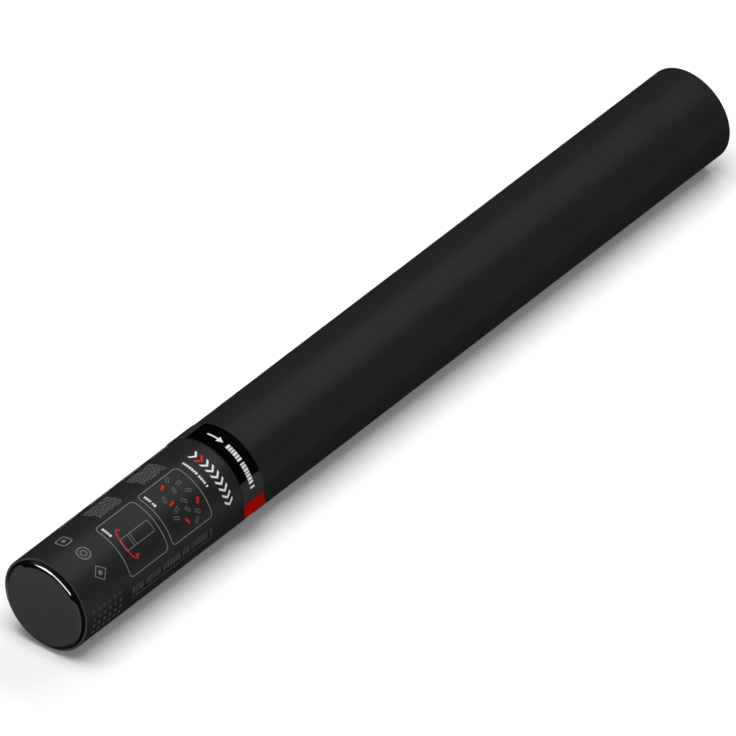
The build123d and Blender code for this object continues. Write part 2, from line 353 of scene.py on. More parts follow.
def liner_material(name, dark, light):
    """The bore's wound liner: fibres, and a helical seam between its turns."""
    material, tree, shader = start_material(name, FIBRE_SPECULAR)
    fibres = noise(tree, **LINER_FIBRES)
    seam = spiral(tree, SEAM_PITCH, SEAM_WIDTH)
    tree.links.new(between(tree, fibres, dark, light), shader.inputs["Base Color"])
    tree.links.new(between(tree, fibres, *LINER_ROUGH), shader.inputs["Roughness"])
    bumped = raised(tree, shader, seam, -SEAM_DEPTH)
    raised(tree, shader, fibres, LINER_BUMP, before=bumped)
    return material


def grey(dark, light):
    """Two grey levels as colours."""
    return (dark,) * 3, (light,) * 3


# Gloss of the finishes: satin board, film and paper keep dark edges, the cap reflects like a dark mirror.
SATIN = {"metallic": 0.26, "edge": 0.0}
LABEL_SATIN = {"metallic": 0.40, "edge": 0.0}
CAP_SHINE = {"metallic": 1.0, "edge": 0.40}
METAL = {"metallic": 1.0, "specular": 0.5}
INK = {"patch": 400.0, "grain": 2600.0, "bump": 0.004}
INK_ROUGH = (0.50, 0.62)

MATERIALS = {
    "barrel": surface(
        "black_board", grey(0.0240, 0.0260), rough=(0.30, 0.40), patch=60.0, grain=2400.0, bump=0.012,
        detail=3.0, **SATIN),
    "board": board_material("cut_board", (0.10, 0.085, 0.07), (0.27, 0.235, 0.195)),
    "dark_board": board_material("dark_board", *grey(0.038, 0.088)),
    "liner": liner_material("bore_liner", (0.16, 0.13, 0.10), (0.25, 0.21, 0.165)),
    "label": surface(
        "label_paper", grey(0.0290, 0.0325), rough=(0.32, 0.40), patch=45.0, grain=2200.0, bump=0.010,
        **LABEL_SATIN),
    "cap": surface(
        "cap_plastic", grey(0.0045, 0.0060), rough=(0.20, 0.28), patch=70.0, grain=900.0, bump=0.002,
        **SATIN),
    "cap_gloss": surface(
        "cap_gloss", grey(0.0361, 0.0399), rough=(0.05, 0.07), patch=70.0, grain=900.0, bump=0.0003,
        **CAP_SHINE),
    "film": surface(
        "seal_film", grey(0.0370, 0.0410), rough=(0.30, 0.38), patch=80.0, grain=1200.0, bump=0.006,
        **SATIN),
    "panel": surface(
        "seal_panel_ink", grey(0.0016, 0.0022), rough=(0.30, 0.40), patch=90.0, grain=1500.0, bump=0.004,
        **SATIN),
    "tab": surface(
        "tab_film", ((0.37, 0.0042, 0.0018), (0.42, 0.0058, 0.0028)), rough=(0.46, 0.56),
        patch=80.0, grain=1200.0, bump=0.006),
    "white_ink": surface("white_ink", grey(0.76, 0.84), INK_ROUGH, specular=0.20, **INK),
    "grey_ink": surface("grey_ink", grey(0.16, 0.19), INK_ROUGH, specular=0.05, **INK),
    "dim_ink": surface("dim_ink", grey(0.145, 0.175), INK_ROUGH, specular=0.05, **INK),
    "faint_ink": surface("faint_ink", grey(0.056, 0.064), (0.40, 0.50), specular=0.02, **INK),
    "red_ink": surface(
        "red_ink", ((0.58, 0.010, 0.016), (0.68, 0.014, 0.022)), INK_ROUGH, specular=0.15, **INK),
    "lid": surface(
        "lid_plastic", grey(0.016, 0.021), rough=(0.42, 0.56), patch=90.0, grain=1300.0, bump=0.012,
        specular=0.20),
    "slip": surface(
        "slip_paper", ((0.74, 0.74, 0.73), (0.82, 0.82, 0.81)), rough=(0.72, 0.88),
        patch=140.0, grain=2200.0, bump=0.02, specular=0.20),
    "card": surface(
        "grey_card", ((0.21, 0.20, 0.18), (0.33, 0.315, 0.29)), rough=(0.78, 0.92),
        patch=500.0, grain=2400.0, bump=0.03, specular=0.20),
    "wad": surface(
        "wad_plastic", ((0.60, 0.58, 0.53), (0.68, 0.66, 0.61)), rough=(0.40, 0.55),
        patch=60.0, grain=1100.0, bump=0.012, specular=0.40),
    "mechanism": surface(
        "mechanism_plastic", ((0.085, 0.09, 0.10), (0.115, 0.12, 0.13)), rough=(0.38, 0.52),
        patch=70.0, grain=1100.0, bump=0.010, specular=0.40),
    "rubber": surface(
        "rubber", grey(0.010, 0.018), rough=(0.62, 0.80), patch=160.0, grain=1600.0, bump=0.015,
        specular=0.25),
    "steel": surface(
        "steel", ((0.50, 0.51, 0.52), (0.60, 0.61, 0.62)), rough=(0.20, 0.34),
        patch=120.0, grain=1800.0, bump=0.004, stretch=(0.06, 1.0, 1.0), **METAL),
    "aluminium": surface(
        "aluminium", ((0.66, 0.67, 0.68), (0.76, 0.77, 0.78)), rough=(0.24, 0.36),
        patch=120.0, grain=1500.0, bump=0.004, stretch=(0.08, 1.0, 1.0), **METAL),
}


def finish_of(*names):
    return [MATERIALS[name] for name in names]


# The tube's outside: barrel, label, cap, lid, seal strip and tab.

WRAP, CUT_BOARD, LINER = 0, 1, 2
SEAT_GAP = 0.3 * MM
SEAT_SHOULDER = 0.12 * MM
MUZZLE_ROUND = 0.8 * MM
BORE_ROUND = 0.35 * MM
BORE_ROUND_STEPS = 4


def make_barrel():
    start, muzzle = span_of("barrel_tube")
    seat_end = span_of("seal_strip")[1] + SEAT_GAP
    mouth = BORE_RADIUS + BORE_ROUND
    outside = [
        (start, BOARD_RADIUS),
        (seat_end, BOARD_RADIUS),
        (seat_end, TUBE_RADIUS - SEAT_SHOULDER),
        (seat_end + SEAT_SHOULDER, TUBE_RADIUS),
        *quarter(muzzle - MUZZLE_ROUND, TUBE_RADIUS - MUZZLE_ROUND, MUZZLE_ROUND, 90.0, 0.0),
    ]
    inside = [
        (muzzle, mouth),
        *quarter(muzzle - BORE_ROUND, mouth, BORE_ROUND, 0.0, -90.0, BORE_ROUND_STEPS)[1:],
        (start, BORE_RADIUS),
    ]
    finishes = [WRAP] * (len(outside) - 1) + [CUT_BOARD] * (len(inside) - 1) + [LINER, CUT_BOARD]
    made = lathe("barrel_wall", outside + inside, finishes)
    return piece(made, "barrel", "black_board", finish_of("barrel", "board", "liner"), "barrel_tube")


LABEL_EDGE = 0.06 * MM
LABEL_FIT = 0.02 * MM
OVERLAP_MARGIN = 0.3 * MM
OVERLAP_RADII = (TUBE_RADIUS - 0.05 * MM, TUBE_RADIUS + 0.07 * MM)
OVERLAP_ANGLES = (-150.0, -132.0)
OVERLAP_SOFT = 0.05 * MM


def make_label():
    low, high = span_of("grip_label")
    inner = BOARD_RADIUS + LABEL_FIT
    profile = [
        (low, inner),
        (low, TUBE_RADIUS - LABEL_EDGE),
        (low + LABEL_EDGE, TUBE_RADIUS),
        (high - LABEL_EDGE, TUBE_RADIUS),
        (high, TUBE_RADIUS - LABEL_EDGE),
        (high, inner),
    ]
    piece(lathe("label_sheet", profile), "grip", "label_paper", finish_of("label"), "grip_label")
    span = (low + OVERLAP_MARGIN, high - OVERLAP_MARGIN)
    overlap = soften(wrapped("label_overlap", span, OVERLAP_RADII, OVERLAP_ANGLES), OVERLAP_SOFT)
    piece(overlap, "grip", "label_paper", finish_of("label"))


# The cap's rim from its face outwards, as arcs in mm and degrees: a glossy round and bead, a satin skirt.
CAP_GLOSSY = ((0.8, 180.0, 148.0), (10.0, 148.0, 138.0))
CAP_SATIN = ((21.0, 138.0, 134.0), (0.3, 134.0, 90.0))
SKIRT, GLOSS = 0, 1
CAP_INSET = 1.3 * MM
CAP_WALL = 2.0 * MM
CAP_FLOOR = 3.2 * MM
CAP_FILLET = 1.0 * MM
SPIGOT_LEAD = (1.0 * MM, 0.6 * MM)


def arc_rise(size, start, end):
    return size * MM * (math.sin(math.radians(end)) - math.sin(math.radians(start)))


def make_cap():
    low, high = span_of("base_cap")
    flange_end = span_of("grip_tube")[0]
    rim = TUBE_RADIUS - CAP_INSET
    cup = BORE_RADIUS - CAP_WALL
    floor = low + CAP_FLOOR
    profile = [(low, 0.0), (low, rim - sum(arc_rise(*row) for row in CAP_GLOSSY + CAP_SATIN))]
    for size, start, end in CAP_GLOSSY:
        bend(profile, size * MM, start, end)
    glossy = len(profile) - 1
    for size, start, end in CAP_SATIN:
        bend(profile, size * MM, start, end)
    profile += [
        (flange_end, rim),
        (flange_end, BORE_RADIUS),
        (high - SPIGOT_LEAD[0], BORE_RADIUS),
        (high, BORE_RADIUS - SPIGOT_LEAD[1]),
        (high, cup),
        (floor + CAP_FILLET, cup),
        (floor, cup - CAP_FILLET),
        (floor, 0.0),
    ]
    finishes = [GLOSS] * glossy + [SKIRT] * (len(profile) - 1 - glossy)
    made = lathe("end_cap", profile, finishes, closed=False)
    return piece(made, "grip", "cap_plastic", finish_of("cap", "cap_gloss"), "base_cap")


LID_WALL = 1.2 * MM
LID_FACE = 1.4 * MM
LID_SUNK = 0.25 * MM
LID_LIP = 0.5 * MM
LID_LIP_ARC = (15.0, 90.0, 5)
LID_FILLET = 0.6 * MM
LID_LEAD = (0.8 * MM, 0.4 * MM)
LID_BOSS, BOSS_SLOPE = 2.0 * MM, 0.4 * MM
LID_RIM, RIM_SLOPE = 1.9 * MM, 0.5 * MM
GROOVE_START, GROOVE_SLOPE, GROOVE_WIDTH = 15.0 * MM, 0.5 * MM, 0.8 * MM
GROOVE_DEPTH = 0.45 * MM


def make_lid():
    """A hollow plug; its face is sunk between a boss and the rim and has a shallow groove."""
    low, high = span_of("muzzle_lid")
    radius = radius_of("muzzle_lid")
    cup = radius - LID_WALL
    back = high - LID_FACE
    sunk = high - LID_SUNK
    groove = sunk - GROOVE_DEPTH
    groove_end = GROOVE_START + GROOVE_SLOPE + GROOVE_WIDTH
    profile = [
        (high, 0.0),
        (high, LID_BOSS),
        (sunk, LID_BOSS + BOSS_SLOPE),
        (sunk, GROOVE_START),
        (groove, GROOVE_START + GROOVE_SLOPE),
        (groove, groove_end),
        (sunk, groove_end + GROOVE_SLOPE),
        (sunk, radius - LID_RIM - RIM_SLOPE),
        (high, radius - LID_RIM),
        (high, radius - LID_LIP),
        *quarter(high - LID_LIP, radius - LID_LIP, LID_LIP, *LID_LIP_ARC),
        (low + LID_LEAD[0], radius),
        (low, radius - LID_LEAD[1]),
        (low, cup),
        (back - LID_FILLET, cup),
        (back, cup - LID_FILLET),
        (back, 0.0),
    ]
    made = lathe("muzzle_plug", profile, closed=False)
    return piece(made, "lid", "lid_plastic", finish_of("lid"), "muzzle_lid")


FILM = 0.25 * MM
FILM_SOFT = 0.07 * MM
SEAL_RADII = (radius_of("seal_strip") - FILM, radius_of("seal_strip"))
SEAL_ANGLES = (-168.0, 90.0)
TAB_ROOT = 90.4
TAB_LEAN = 8.5
TAB_LENGTH = 7.0 * MM


def make_tab(span):
    """A flat plate that starts at the strip's end and leans away from the tube."""
    bm = bmesh.new()
    facing = math.radians(TAB_ROOT - TAB_LEAN)
    away = Vector((0.0, -math.cos(facing), -math.sin(facing))) * TAB_LENGTH
    inwards = Vector((0.0, math.sin(facing), -math.cos(facing))) * FILM
    rows = []
    for x in span:
        root = tube_point(x, SEAL_RADII[1], TAB_ROOT)
        corners = (root, root + away, root + away + inwards, root + inwards)
        rows.append([bm.verts.new(corner) for corner in corners])
    join_rows(bm, *rows)
    close_ends(bm, rows)
    return soften(mesh_object("pull_tab", bm), FILM_SOFT)


def make_seal():
    span = span_of("seal_strip")
    strip = soften(wrapped("seal_band", span, SEAL_RADII, SEAL_ANGLES), FILM_SOFT)
    piece(strip, "seal", "seal_film", finish_of("film"), "seal_strip")
    piece(make_tab(span), "pull_tab", "tab_film", finish_of("tab"), "seal_pull_tab")


# Flat print: polygons of (u, s) points in mm, laid round the tube as thin ink.
# u runs round the tube from its top line towards -Y, s along it from the base face.

ARC_STEPS = 28
CORNER_STEPS = 5
DOT_STEPS = 18
RING_STEPS = 36


def bar(u, s, width, height):
    return [(u, s), (u + width, s), (u + width, s + height), (u, s + height)]


def turned(points, centre, degrees):
    angle = math.radians(degrees)
    c, n = math.cos(angle), math.sin(angle)
    return [(centre[0] + c * u - n * s, centre[1] + n * u + c * s) for u, s in points]


def ribbon(points, width, closed=False):
    """A line of that width along the points, as one four-sided polygon for each stretch."""
    count = len(points)
    sides = []
    for k, (u, s) in enumerate(points):
        before = points[k - 1] if closed or k else points[k]
        after = points[(k + 1) % count] if closed or k < count - 1 else points[k]
        du, ds = after[0] - before[0], after[1] - before[1]
        size = math.hypot(du, ds)
        nu, ns = -ds / size * width / 2, du / size * width / 2
        sides.append(((u + nu, s + ns), (u - nu, s - ns)))
    last = count if closed else count - 1
    return [
        [sides[k][0], sides[k][1], sides[(k + 1) % count][1], sides[(k + 1) % count][0]]
        for k in range(last)
    ]


def arc(centre, radii, start, end, steps=ARC_STEPS):
    points = []
    for k in range(steps + 1):
        angle = math.radians(start + (end - start) * k / steps)
        points.append((centre[0] + radii[0] * math.cos(angle), centre[1] + radii[1] * math.sin(angle)))
    return points


def rounded_box(u, s, width, height, corner):
    points = []
    for cu, cs, start in (
        (u + width - corner, s + corner, -90.0),
        (u + width - corner, s + height - corner, 0.0),
        (u + corner, s + height - corner, 90.0),
        (u + corner, s + corner, 180.0),
    ):
        points += arc((cu, cs), (corner, corner), start, start + 90.0, CORNER_STEPS)
    return points


def disc(centre, radius, steps=DOT_STEPS):
    """The points of a circle, each of them once."""
    return arc(centre, (radius, radius), 0.0, 360.0 * (steps - 1) / steps, steps - 1)


def ring(centre, radius, width):
    return ribbon(disc(centre, radius, RING_STEPS), width, closed=True)


def chevron(u, s, width, height, stroke):
    middle = s + height / 2
    return [
        [(u, s), (u + stroke, s), (u + width + stroke, middle), (u + width, middle)],
        [(u + width, middle), (u + width + stroke, middle), (u + stroke, s + height), (u, s + height)],
    ]


WORD_LENGTHS = (0.9, 2.6)
WORD_HEIGHT = 0.5
WORD_GAP = 0.45
SHORTEST_REST = 0.8
LAST_LINE = 0.6
MARKS_IN_GROUP = (3, 8)


def paragraph(u, s, width, lines, pitch, seed):
    """Short bars in rows, as small print seen from a distance."""
    draw = random.Random(seed)
    bars = []
    for k in range(lines):
        at = u
        end = u + width * (1.0 if k < lines - 1 else LAST_LINE)
        while at < end - SHORTEST_REST:
            length = min(draw.uniform(*WORD_LENGTHS), end - at)
            bars.append(bar(at, s - k * pitch, length, WORD_HEIGHT))
            at += length + WORD_GAP
    return bars


def stretches(start, end, seed, widths, gap, pause):
    """Random lengths between start and end in groups, as the marks in a line of small print."""
    draw = random.Random(seed)
    found = []
    at = start
    left = draw.randint(*MARKS_IN_GROUP)
    while at < end - widths[1]:
        width = draw.uniform(*widths)
        found.append((at, width))
        left -= 1
        at += width + (gap if left else pause)
        left = left or draw.randint(*MARKS_IN_GROUP)
    return found


SAME_POINT = 0.001
INK_LIFT = 0.012
INK_THICKNESS = 0.03


def cut_in_strips(bm, polygons):
    """Cuts the flat faces at every mm of u, so that they bend round the tube."""
    low = min(u for points in polygons for u, _ in points)
    high = max(u for points in polygons for u, _ in points)
    for k in range(math.floor(low), math.ceil(high) + 1):
        everything = bm.verts[:] + bm.edges[:] + bm.faces[:]
        bmesh.ops.bisect_plane(bm, geom=everything, plane_co=(k, 0.0, 0.0), plane_no=(1.0, 0.0, 0.0))


def settle_faces(bm):
    """Orders the faces by place, because an extrusion's own order changes from run to run."""
    ordered = sorted(bm.faces, key=lambda face: tuple(face.calc_center_median()))
    rank = {face: k for k, face in enumerate(ordered)}
    bm.faces.sort(key=rank.get)


def printed(name, polygons, radius, body, slot, ink, lift=INK_LIFT, thickness=INK_THICKNESS):
    """Ink of that thickness, lifted that far off the tube; both in mm."""
    bm = bmesh.new()
    for points in polygons:
        bm.faces.new([bm.verts.new((u, s, 0.0)) for u, s in points])
    bmesh.ops.remove_doubles(bm, verts=bm.verts, dist=SAME_POINT)
    cut_in_strips(bm, polygons)
    low, top = radius + lift * MM, radius + (lift + thickness) * MM
    upper = bmesh.ops.extrude_face_region(bm, geom=bm.faces[:], use_keep_orig=True)
    top_points = {v for v in upper["geom"] if isinstance(v, bmesh.types.BMVert)}
    for vert in bm.verts:
        reach = top if vert in top_points else low
        vert.co = tube_point(station(vert.co.y), reach, math.degrees(vert.co.x * MM / radius))
    settle_faces(bm)
    return piece(mesh_object(name, bm), body, slot, finish_of(ink))


# The label's print: two frames, chevrons, small print and plain marks, in mm.

LABEL_PLACE = (TUBE_RADIUS, "grip", "label_paper")
FRAME_U, FRAME_WIDTH = 2.0, 31.0
FRAME_MIDDLE = FRAME_U + FRAME_WIDTH / 2
FRAME_CORNER, FRAME_LINE = 2.4, 0.6
TWIST_S, TWIST_HEIGHT = 37.0, 28.5
SPRAY_S, SPRAY_HEIGHT = 69.0, 30.0
TWIST_MOUTH = (FRAME_MIDDLE, TWIST_S + 24.5)
SPRAY_CENTRE = (FRAME_MIDDLE, SPRAY_S + 3.0)

# Rows of slips in the spray: reach, number of slips and half of the spread in degrees.
SPRAY_ROWS = ((8.5, 4, 40.0), (15.0, 5, 42.0), (21.5, 6, 37.0))
SPRAY_SEED = 11
SPRAY_SWAY = 3.0
SPRAY_SHIFT = 1.2
SPRAY_TURN = 70.0
SLIP_CORNERS = bar(-0.65, -1.7, 1.3, 3.4)
SLIP_LINE = 0.34
FILLED_EVERY = 4

TUBE_HALF = 3.2
TUBE_FOOT, TUBE_LENGTH, TUBE_CORNER = 20.0, 21.0, 0.8
TUBE_RINGS = (12.5, 14.2)
TUBE_LINE = 0.42
ARROW_DROP, ARROW_RADII, ARROW_SWEEP = 16.8, (8.2, 2.8), (150.0, 375.0)
ARROW_HEAD = ((-1.5, -0.3), (1.5, -0.6), (-0.2, 2.2))
ARROW_LINE = 0.7


def spray(centre):
    """Slips in a fan, as four-cornered outlines and as filled ones."""
    draw = random.Random(SPRAY_SEED)
    outlined, filled = [], []
    for row, (reach, count, half) in enumerate(SPRAY_ROWS):
        for k in range(count):
            sway = draw.uniform(-SPRAY_SWAY, SPRAY_SWAY)
            aim = math.radians(-half + 2 * half * k / (count - 1) + sway)
            far = reach + draw.uniform(-SPRAY_SHIFT, SPRAY_SHIFT)
            place = (centre[0] + far * math.sin(aim), centre[1] + far * math.cos(aim))
            slip = turned(SLIP_CORNERS, place, draw.uniform(-SPRAY_TURN, SPRAY_TURN))
            if (k + row) % FILLED_EVERY == 1:
                filled.append(slip)
            else:
                outlined += ribbon(slip, SLIP_LINE, closed=True)
    return outlined, filled


def turn_motif(mouth):
    """An outlined tube with two rings near its base, and an arrow that turns round the base."""
    u, s = mouth
    outline = rounded_box(u - TUBE_HALF, s - TUBE_FOOT, 2 * TUBE_HALF, TUBE_LENGTH, TUBE_CORNER)
    lines = ribbon(outline, TUBE_LINE, closed=True)
    for drop in TUBE_RINGS:
        lines += ribbon([(u - TUBE_HALF, s - drop), (u + TUBE_HALF, s - drop)], TUBE_LINE)
    turn = arc((u, s - ARROW_DROP), ARROW_RADII, *ARROW_SWEEP)
    tip_u, tip_s = turn[-1]
    arrow = ribbon(turn, ARROW_LINE)
    arrow.append([(tip_u + du, tip_s + ds) for du, ds in ARROW_HEAD])
    return lines, arrow


def make_frame_print():
    """Two frames along the grip: a tube that is turned at its base, and a spray of slips."""
    borders = []
    for s, height in ((TWIST_S, TWIST_HEIGHT), (SPRAY_S, SPRAY_HEIGHT)):
        border = rounded_box(FRAME_U, s, FRAME_WIDTH, height, FRAME_CORNER)
        borders += ribbon(border, FRAME_LINE, closed=True)
    outlined, filled = spray(SPRAY_CENTRE)
    lines, arrow = turn_motif(TWIST_MOUTH)
    printed("label_frames", borders, *LABEL_PLACE, "grey_ink")
    printed("label_motif", lines + outlined, *LABEL_PLACE, "grey_ink")
    printed("label_motif_red", arrow + filled, *LABEL_PLACE, "red_ink")


CHEVRONS = 9
RED_CHEVRON = 1
CHEVRON_START, CHEVRON_PITCH, CHEVRON_S = 1.0, 3.7, 108.9
CHEVRON_SIZE = {"width": 2.2, "height": 5.8, "stroke": 1.35}
TITLE_HEIGHT = 1.4
TITLE_MARKS = {"widths": (0.6, 1.3), "gap": 0.35, "pause": 1.0}
# Lines of title marks: start and end round the tube, place along it, and seed.
TITLE_LINES = (
    (2.4, 21.0, 103.1, 5),
    (4.4, 12.0, TWIST_S + 2.2, 6),
    (4.4, 12.0, SPRAY_S + 2.2, 8),
)


def make_title_print():
    """A row of chevrons, a short line of marks under it and one in a corner of each frame."""
    row = [chevron(CHEVRON_START + CHEVRON_PITCH * k, CHEVRON_S, **CHEVRON_SIZE) for k in range(CHEVRONS)]
    white = [part for k, parts in enumerate(row) if k != RED_CHEVRON for part in parts]
    for start, end, s, seed in TITLE_LINES:
        white += [bar(u, s, width, TITLE_HEIGHT) for u, width in stretches(start, end, seed, **TITLE_MARKS)]
    printed("label_rules", white, *LABEL_PLACE, "white_ink")
    printed("label_accent", row[RED_CHEVRON], *LABEL_PLACE, "red_ink")


SMALL_TOPS = (62.4, 95.4)
SMALL_BLOCK = {"u": -12.6, "width": 11.4, "lines": 15, "pitch": 1.25}
SMALL_SEED = 20
COLUMN_U, COLUMN_WIDTH = 38.4, 4.2
COLUMN_MARKS = {"start": 37.0, "end": 99.0, "seed": 7, "widths": (0.7, 1.6), "gap": 0.7, "pause": 2.2}
COLUMN_RULE = ((45.0, 37.0), (45.0, 98.0))
RULE_LINE = 0.5
BACK_TOPS = (44.9, 68.9, 92.9, 114.9)
# Blocks of small print round the back: place round the tube, width and first seed.
BACK_BLOCKS = ((-51.0, 20.0, 40), (-27.0, 11.0, 60))
BACK_LINES, BACK_PITCH = 11, 1.4


def make_small_print():
    """Two blocks left of the frames, a line of larger marks right of them, and blocks round the back."""
    small = []
    for k, s in enumerate(SMALL_TOPS):
        small += paragraph(s=s, seed=SMALL_SEED + k, **SMALL_BLOCK)
    printed("label_small_print", small, *LABEL_PLACE, "dim_ink")
    column = [bar(COLUMN_U, s, COLUMN_WIDTH, width) for s, width in stretches(**COLUMN_MARKS)]
    column += ribbon(COLUMN_RULE, RULE_LINE)
    printed("label_side_column", column, *LABEL_PLACE, "faint_ink")
    back = []
    for k, s in enumerate(BACK_TOPS):
        for u, width, seed in BACK_BLOCKS:
            back += paragraph(u, s, width, BACK_LINES, BACK_PITCH, seed + k)
    printed("label_back_print", back, *LABEL_PLACE, "dim_ink")


MARKS_S = 21.0
SQUARE_AT, RINGS_AT, TURNED_AT = (-4.0, MARKS_S), (8.5, MARKS_S), (21.0, MARKS_S)
MARK_LINE = 0.75
MARK_HALF, MARK_CORNER = 3.2, 1.4
TURNED_CORNERS = bar(-2.8, -2.8, 5.6, 5.6)
TURNED_DEGREES = 45.0
OUTER_RING = 3.5
INNER_RING, INNER_LINE = 1.6, 0.7
MARK_DOT = 1.3
DOTS_START, DOTS_PITCH, DOT_RADIUS = (36.0, 8.0), 4.0, 1.0
DOT_COLUMNS, DOT_ROWS = 4, 6


def make_marks_print():
    """A square with a dot, two rings and a turned square near the cap, and rows of faint dots beside them."""
    left, low = SQUARE_AT[0] - MARK_HALF, SQUARE_AT[1] - MARK_HALF
    square = rounded_box(left, low, 2 * MARK_HALF, 2 * MARK_HALF, MARK_CORNER)
    marks = ribbon(square, MARK_LINE, closed=True)
    marks += ring(RINGS_AT, OUTER_RING, MARK_LINE)
    marks += ribbon(turned(TURNED_CORNERS, TURNED_AT, TURNED_DEGREES), MARK_LINE, closed=True)
    printed("label_marks", marks, *LABEL_PLACE, "grey_ink")
    fills = [disc(SQUARE_AT, MARK_DOT), disc(TURNED_AT, MARK_DOT)]
    fills += ring(RINGS_AT, INNER_RING, INNER_LINE)
    printed("label_mark_fills", fills, *LABEL_PLACE, "dim_ink")
    dots = []
    for j in range(DOT_COLUMNS):
        for k in range(DOT_ROWS):
            place = (DOTS_START[0] + DOTS_PITCH * j, DOTS_START[1] + DOTS_PITCH * k)
            dots.append(disc(place, DOT_RADIUS))
    printed("label_dots", dots, *LABEL_PLACE, "faint_ink")


PANEL_ANGLES = (-24.0, 64.0)
PANEL_MARGIN = 0.25
PANEL_INK = {"lift": 0.01, "thickness": 0.02}
ARROW_LIFT = 0.032
SHAFT_START, SHAFT_LENGTH, SHAFT_WIDTH = -2.6, 6.6, 0.9
HEAD_START, HEAD_END, HEAD_HALF = 3.8, 7.2, 1.9
SEAL_MARK_HEIGHT = 3.0
SEAL_MARKS = {"start": 9.6, "end": 36.5, "seed": 9, "widths": (0.8, 1.8), "gap": 0.45, "pause": 1.4}


def make_seal_print():
    """A black panel with an arrow along the pull and a line of marks."""
    low, high = span_of("seal_strip")
    radius = SEAL_RADII[1]
    place = (radius, "seal", "seal_film")
    near, far = (low - BASE_X) / MM + PANEL_MARGIN, (high - BASE_X) / MM - PANEL_MARGIN
    left, right = (radius / MM * math.radians(angle) for angle in PANEL_ANGLES)
    panel = bar(left, near, right - left, far - near)
    printed("seal_panel", [panel], *place, "panel", **PANEL_INK)
    middle = (near + far) / 2
    shaft = bar(SHAFT_START, middle - SHAFT_WIDTH / 2, SHAFT_LENGTH, SHAFT_WIDTH)
    head = [(HEAD_START, middle - HEAD_HALF), (HEAD_END, middle), (HEAD_START, middle + HEAD_HALF)]
    foot = middle - SEAL_MARK_HEIGHT / 2
    marks = [bar(u, foot, width, SEAL_MARK_HEIGHT) for u, width in stretches(**SEAL_MARKS)]
    printed("seal_arrow", [shaft, head, *marks], *place, "white_ink", lift=ARROW_LIFT)


# The charge: stacks of paper slips, four in the middle of each layer and one on either side.

LAYERS = [f"confetti_layer_{k}" for k in range(1, 7)]
LAYER_SEED = 100
MIDDLE_STACKS = 4
STACKS_ACROSS = 3
SLIPS_IN_STACK = 26
STACK_GAP = 0.3 * MM
SIDE_STACK = 8.6 * MM
# A slip is smaller than its stack by this many mm, shifted by a share of that and turned by degrees.
SLIP_SHRINK = (0.3, 1.3)
SHRINK_ACROSS = 0.6
SLIP_FILL = 0.86
SLIP_SHIFT = (0.4, 0.25)
SLIP_TURN = 0.12
BOX_FACES = ((3, 2, 1, 0), (4, 5, 6, 7), (0, 1, 5, 4), (1, 2, 6, 5), (2, 3, 7, 6), (3, 0, 4, 7))


def slip_box(bm, centre, size, turn):
    """One slip as a thin box, turned a little about the tube's upward line."""
    c, n = math.cos(turn), math.sin(turn)
    corners = []
    for dz in (-0.5, 0.5):
        for dx, dy in SQUARE:
            x, y = dx * size.x, dy * size.y
            corners.append(bm.verts.new(centre + Vector((c * x - n * y, n * x + c * y, dz * size.z))))
    for face in BOX_FACES:
        bm.faces.new([corners[k] for k in face])


def fill_stack(bm, low, high, draw):
    size = high - low
    pitch = size.z / SLIPS_IN_STACK
    for k in range(SLIPS_IN_STACK):
        shrink = draw.uniform(*SLIP_SHRINK) * MM
        slip = Vector((size.x - shrink, size.y - shrink * SHRINK_ACROSS, pitch * SLIP_FILL))
        away = Vector([draw.uniform(-shift, shift) for shift in SLIP_SHIFT] + [0.0]) * shrink
        centre = Vector(((low.x + high.x) / 2, (low.y + high.y) / 2, low.z + pitch * (k + 0.5)))
        slip_box(bm, centre + away, slip, math.radians(draw.uniform(-SLIP_TURN, SLIP_TURN)))


def stack_boxes(low, high):
    """Low and high corners of a layer's stacks: the middle ones from below, then the sides."""
    width = (high.y - low.y - (STACKS_ACROSS - 1) * STACK_GAP) / STACKS_ACROSS
    pitch = (high.z - low.z + STACK_GAP) / MIDDLE_STACKS
    places = [(-width / 2, low.z + k * pitch, pitch - STACK_GAP) for k in range(MIDDLE_STACKS)]
    places += [(y, AXIS_Z - SIDE_STACK / 2, SIDE_STACK) for y in (low.y, width / 2 + STACK_GAP)]
    return [(Vector((low.x, y, z)), Vector((high.x, y + width, z + height))) for y, z, height in places]


def make_charge():
    for index, node in enumerate(LAYERS):
        draw = random.Random(LAYER_SEED + index)
        bm = bmesh.new()
        for low, high in stack_boxes(*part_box(node)):
            fill_stack(bm, low, high, draw)
        made = mesh_object(f"slip_stacks_{index + 1}", bm)
        piece(made, "payload", "slip_paper", finish_of("slip"), node)


# The guard spring, which the advancing cylinder presses against the bulkhead; the coil is built as it stands
# at rest.

SPRING_TURNS = 8
SPRING_WIRE = 1.2 * MM
SPRING_START = 180.0
TURN_STEPS = 36
WIRE_STEPS = 12


def wire_ring(x, coil, degrees, rise):
    """Points round the wire at a place of the coil; rise is the climb for each radian."""
    angle = math.radians(degrees)
    outwards = Vector((0.0, -math.sin(angle), math.cos(angle)))
    onwards = Vector((rise, -coil * math.cos(angle), -coil * math.sin(angle))).normalized()
    across = onwards.cross(outwards)
    points = []
    for k in range(WIRE_STEPS):
        turn = 2 * math.pi * k / WIRE_STEPS
        away = outwards * math.cos(turn) + across * math.sin(turn)
        points.append(tube_point(x, coil, degrees) + away * SPRING_WIRE / 2)
    return points


